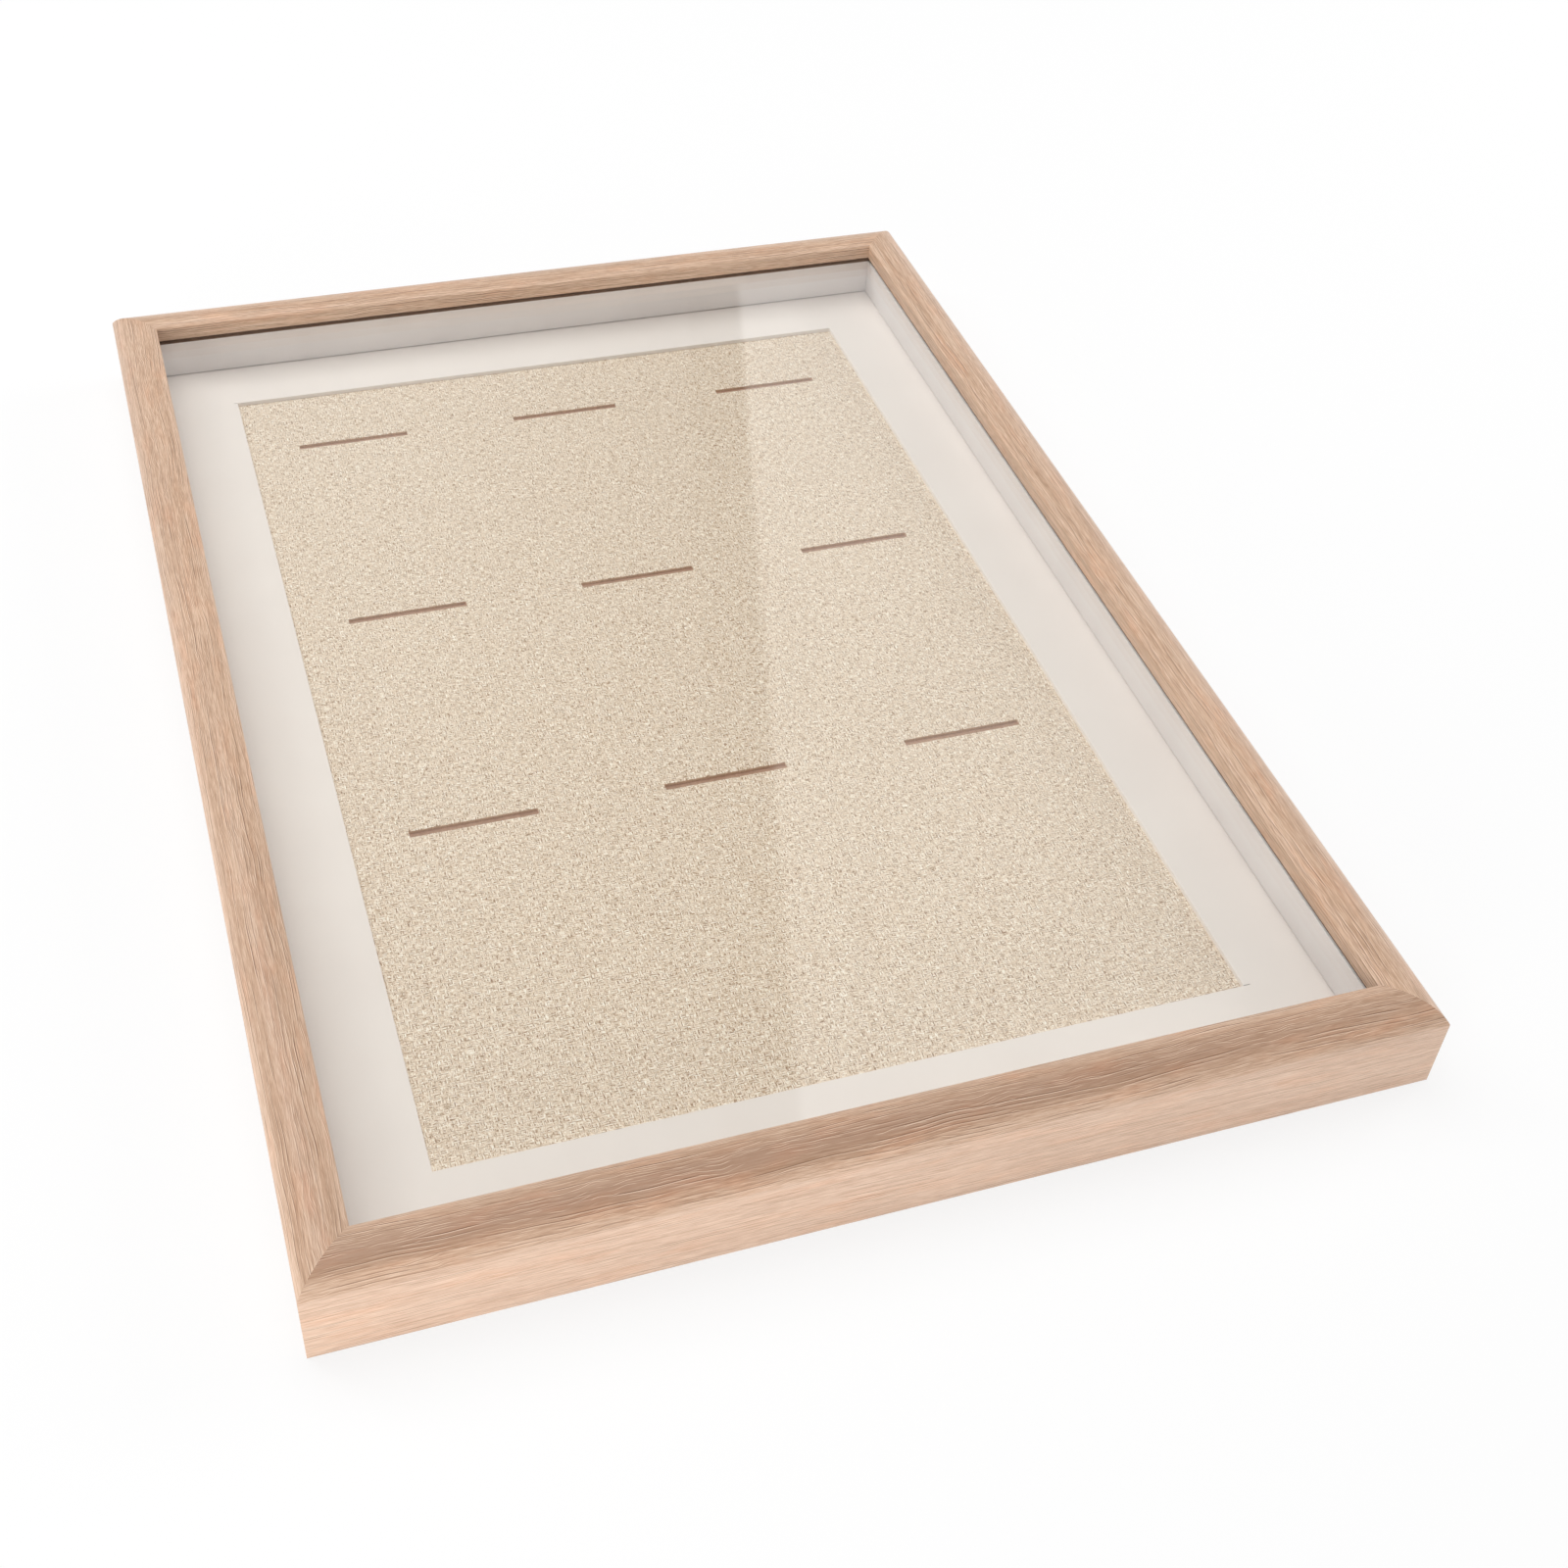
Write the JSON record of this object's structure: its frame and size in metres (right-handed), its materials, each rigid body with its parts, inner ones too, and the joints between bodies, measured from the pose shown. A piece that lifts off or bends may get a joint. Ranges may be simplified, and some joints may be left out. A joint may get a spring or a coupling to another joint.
{
  "type": "enamel pin display case",
  "caption": "Shadow-box display case: mitred wood-grain frame, glass, white window mat and a linen card slotted for pins and medal ribbons, closed by turn buttons.",
  "frame": {"origin": "centre of the footprint, on the plane of the back rim that the case lies or hangs on", "axes": "+X to the right and +Y towards the top rail, seen from the front; +Z out of the glass"},
  "size_m": [0.3, 0.422, 0.0284],
  "materials": {
    "oak_foil_moulding": "satin embossed wood-grain foil",
    "white_spacer_board": "matte white paper",
    "clear_glass": "clear, polished",
    "white_mat_board": "matte off-white board",
    "linen_paper_card": "woven linen-look paper",
    "brown_fibreboard": "smooth hardboard",
    "zinc_plated_steel": "zinc plated",
    "bright_steel": "bright rolled strip",
    "brass_plated_steel": "brass plated"
  },
  "bodies": {
    "back_and_mat": {"back_panel": "brown_fibreboard", "slotted_insert": "linen_paper_card", "window_mat": "white_mat_board", "sawtooth_hanger_portrait": "brass_plated_steel", "sawtooth_hanger_landscape": "brass_plated_steel", "hanger_nails": "brass_plated_steel"},
    "frame": {"rail_bottom": "oak_foil_moulding", "rail_right": "oak_foil_moulding", "rail_top": "oak_foil_moulding", "rail_left": "oak_foil_moulding", "spacer_bottom": "white_spacer_board", "spacer_right": "white_spacer_board", "spacer_top": "white_spacer_board", "spacer_left": "white_spacer_board", "front_glass": "clear_glass", "turn_button_screws": "zinc_plated_steel", "corner_v_nails": "bright_steel"},
    "turn_button_bottom_1": {"turn_button_bottom_1": "zinc_plated_steel"},
    "turn_button_bottom_2": {"turn_button_bottom_2": "zinc_plated_steel"},
    "turn_button_right_1": {"turn_button_right_1": "zinc_plated_steel"},
    "turn_button_right_2": {"turn_button_right_2": "zinc_plated_steel"},
    "turn_button_top_1": {"turn_button_top_1": "zinc_plated_steel"},
    "turn_button_top_2": {"turn_button_top_2": "zinc_plated_steel"},
    "turn_button_left_1": {"turn_button_left_1": "zinc_plated_steel"},
    "turn_button_left_2": {"turn_button_left_2": "zinc_plated_steel"}
  },
  "joints": [
    {"name": "frame_lift_off", "type": "slide", "parent": "back_and_mat", "child": "frame", "axis": [0, 0, 1], "range_m": [0, 0.06]},
    {"name": "turn_button_bottom_1_turn", "type": "hinge", "parent": "frame", "child": "turn_button_bottom_1", "pos_m": [-0.075, -0.2046, 0.0024], "axis": [0, 0, 1], "range_deg": [0, 180]},
    {"name": "turn_button_bottom_2_turn", "type": "hinge", "parent": "frame", "child": "turn_button_bottom_2", "pos_m": [0.075, -0.2046, 0.0024], "axis": [0, 0, 1], "range_deg": [0, 180]},
    {"name": "turn_button_right_1_turn", "type": "hinge", "parent": "frame", "child": "turn_button_right_1", "pos_m": [0.1436, -0.1055, 0.0024], "axis": [0, 0, 1], "range_deg": [0, 180]},
    {"name": "turn_button_right_2_turn", "type": "hinge", "parent": "frame", "child": "turn_button_right_2", "pos_m": [0.1436, 0.1055, 0.0024], "axis": [0, 0, 1], "range_deg": [0, 180]},
    {"name": "turn_button_top_1_turn", "type": "hinge", "parent": "frame", "child": "turn_button_top_1", "pos_m": [0.075, 0.2046, 0.0024], "axis": [0, 0, 1], "range_deg": [0, 180]},
    {"name": "turn_button_top_2_turn", "type": "hinge", "parent": "frame", "child": "turn_button_top_2", "pos_m": [-0.075, 0.2046, 0.0024], "axis": [0, 0, 1], "range_deg": [0, 180]},
    {"name": "turn_button_left_1_turn", "type": "hinge", "parent": "frame", "child": "turn_button_left_1", "pos_m": [-0.1436, 0.1055, 0.0024], "axis": [0, 0, 1], "range_deg": [0, 180]},
    {"name": "turn_button_left_2_turn", "type": "hinge", "parent": "frame", "child": "turn_button_left_2", "pos_m": [-0.1436, -0.1055, 0.0024], "axis": [0, 0, 1], "range_deg": [0, 180]}
  ]
}
